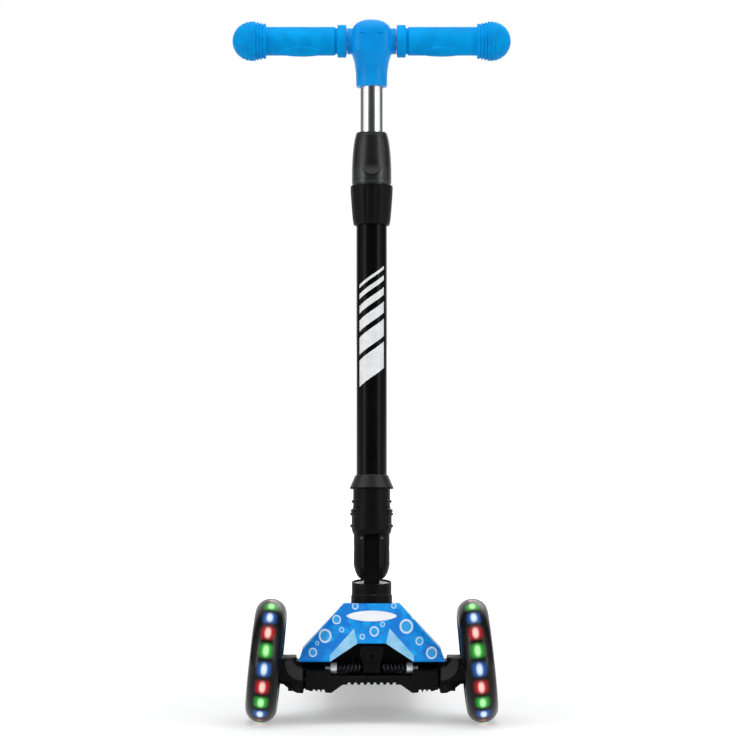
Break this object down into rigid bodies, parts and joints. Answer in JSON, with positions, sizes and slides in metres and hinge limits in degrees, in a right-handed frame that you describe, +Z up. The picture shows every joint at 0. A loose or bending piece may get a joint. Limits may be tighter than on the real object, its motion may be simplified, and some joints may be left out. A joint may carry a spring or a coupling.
{
  "type": "three wheel kids scooter",
  "caption": "Kids' scooter that leans to steer, with a folding height-adjustable T-bar column, a faceted nose cover over a ribbed axle beam, wheels with light blocks and a rear foot brake.",
  "frame": {"origin": "on the floor, under the middle of the whole scooter", "axes": "+Z up, -Y towards the front, the way it rides, and +X to the right as seen from the front"},
  "size_m": [0.2762, 0.54, 0.687],
  "materials": {
    "soft_blue_plastic": "satin moulded plastic",
    "grip_foam": "soft matt rubber",
    "printed_cover": "glossy with a tonal print",
    "black_plastic": "satin black moulding",
    "black_tube": "glossy black coating",
    "bright_tube": "polished",
    "crossbar_tube": "plain",
    "steel_fixings": "zinc plated",
    "bright_fixings": "bright plated",
    "tyre_rubber": "glossy black polyurethane",
    "light_blocks": "lit blocks in green, blue and red",
    "deck_rubber": "matt ribbed",
    "nylon": "plain"
  },
  "bodies": {
    "front_axle": {"axle_beam": "black_plastic", "kingpin_left": "steel_fixings", "kingpin_right": "steel_fixings", "spring_bolt_left": "bright_fixings", "spring_bolt_right": "bright_fixings", "centring_spring_left": "bright_fixings", "centring_spring_right": "bright_fixings"},
    "deck": {"deck_base": "black_plastic", "steering_bracket": "black_plastic", "deck_pad": "deck_rubber", "nose_cover": "printed_cover", "pivot_bolt": "steel_fixings", "rear_axle_bolt": "steel_fixings", "rear_axle_nut": "steel_fixings", "brake_pin": "steel_fixings", "brake_spring": "steel_fixings", "socket_collar": "black_plastic", "hinge_tongue": "black_tube"},
    "knuckle_left": {"knuckle_left": "black_plastic", "axle_bolt_left": "steel_fixings", "tie_rod_bolt_left": "steel_fixings"},
    "knuckle_right": {"knuckle_right": "black_plastic", "axle_bolt_right": "steel_fixings", "tie_rod_bolt_right": "steel_fixings"},
    "tie_rod": {"tie_rod": "steel_fixings"},
    "wheel_left": {"tyre_left": "tyre_rubber", "wheel_core_left": "black_plastic", "bearing_inner_left": "steel_fixings", "bearing_outer_left": "steel_fixings", "bearing_spacer_left": "steel_fixings", "light_ring_left": "light_blocks"},
    "wheel_right": {"tyre_right": "tyre_rubber", "wheel_core_right": "black_plastic", "bearing_inner_right": "steel_fixings", "bearing_outer_right": "steel_fixings", "bearing_spacer_right": "steel_fixings", "light_ring_right": "light_blocks"},
    "rear_wheel": {"tyre_rear": "tyre_rubber", "wheel_core_rear": "black_plastic", "bearing_inner_rear": "steel_fixings", "bearing_outer_rear": "steel_fixings", "bearing_spacer_rear": "steel_fixings"},
    "brake": {"brake_fender": "black_plastic"},
    "column": {"column_fork": "black_plastic", "hinge_pin": "steel_fixings", "outer_tube": "black_tube", "clamp_body": "black_plastic", "guide_bush": "nylon"},
    "lock_sleeve": {"lock_sleeve": "black_plastic", "lock_plug": "steel_fixings"},
    "clamp_ring": {"clamp_ring": "black_plastic"},
    "handlebar": {"inner_tube": "bright_tube", "t_head": "soft_blue_plastic", "crossbar": "crossbar_tube", "grip_left": "grip_foam", "grip_right": "grip_foam"},
    "height_button": {"height_button": "black_plastic"}
  },
  "joints": [
    {"name": "lean", "type": "hinge", "parent": "front_axle", "child": "deck", "pos_m": [0, -0.201, 0.062], "axis": [0, 0.9898, -0.1424], "range_deg": [-7, 7], "stiffness_Nm_per_rad": 30, "deforming": ["centring_spring_left", "centring_spring_right"]},
    {"name": "steer_left", "type": "hinge", "parent": "front_axle", "child": "knuckle_left", "pos_m": [-0.076, -0.21, 0.046], "axis": [0, 0.342, 0.9397], "range_deg": [-5, 5]},
    {"name": "steer_right", "type": "hinge", "parent": "front_axle", "child": "knuckle_right", "pos_m": [0.076, -0.21, 0.046], "axis": [0, 0.342, 0.9397], "range_deg": [-5, 5]},
    {"name": "rod_slide", "type": "slide", "parent": "front_axle", "child": "tie_rod", "axis": [1, 0, 0], "range_m": [-0.0024, 0.0024]},
    {"name": "spin_left", "type": "hinge", "parent": "knuckle_left", "child": "wheel_left", "pos_m": [-0.102, -0.21, 0.05975], "axis": [-0.9945, 0, 0.1045], "continuous": true},
    {"name": "spin_right", "type": "hinge", "parent": "knuckle_right", "child": "wheel_right", "pos_m": [0.102, -0.21, 0.05975], "axis": [0.9945, 0, 0.1045], "continuous": true},
    {"name": "spin_rear", "type": "hinge", "parent": "deck", "child": "rear_wheel", "pos_m": [0, 0.23, 0.04], "axis": [1, 0, 0], "continuous": true},
    {"name": "brake_press", "type": "hinge", "parent": "deck", "child": "brake", "pos_m": [0, 0.178, 0.062], "axis": [-1, 0, 0], "range_deg": [0, 4.5], "stiffness_Nm_per_rad": 8, "springref_deg": -5.73},
    {"name": "fold", "type": "hinge", "parent": "deck", "child": "column", "pos_m": [0, -0.16194, 0.165], "axis": [-1, 0, 0], "range_deg": [0, 90]},
    {"name": "lock_slide", "type": "slide", "parent": "column", "child": "lock_sleeve", "axis": [0, 0.0872, 0.9962], "range_m": [0, 0.019]},
    {"name": "ring_turn", "type": "hinge", "parent": "column", "child": "clamp_ring", "pos_m": [0, -0.16194, 0.165], "axis": [0, 0.0872, 0.9962], "range_deg": [0, 90]},
    {"name": "height", "type": "slide", "parent": "column", "child": "handlebar", "axis": [0, 0.0872, 0.9962], "range_m": [-0.04, 0.09]},
    {"name": "button_press", "type": "slide", "parent": "column", "child": "height_button", "axis": [0, 0.9962, -0.0872], "range_m": [0, 0.0022], "stiffness_N_per_m": 500}
  ],
  "couplings": [
    {"joint": "steer_left", "follows": "lean", "ratio": 0.706},
    {"joint": "steer_right", "follows": "lean", "ratio": 0.706},
    {"joint": "rod_slide", "follows": "lean", "m_per_rad": -0.0194},
    {"joint": "lock_slide", "follows": "fold", "m_per_rad": 0.012}
  ]
}
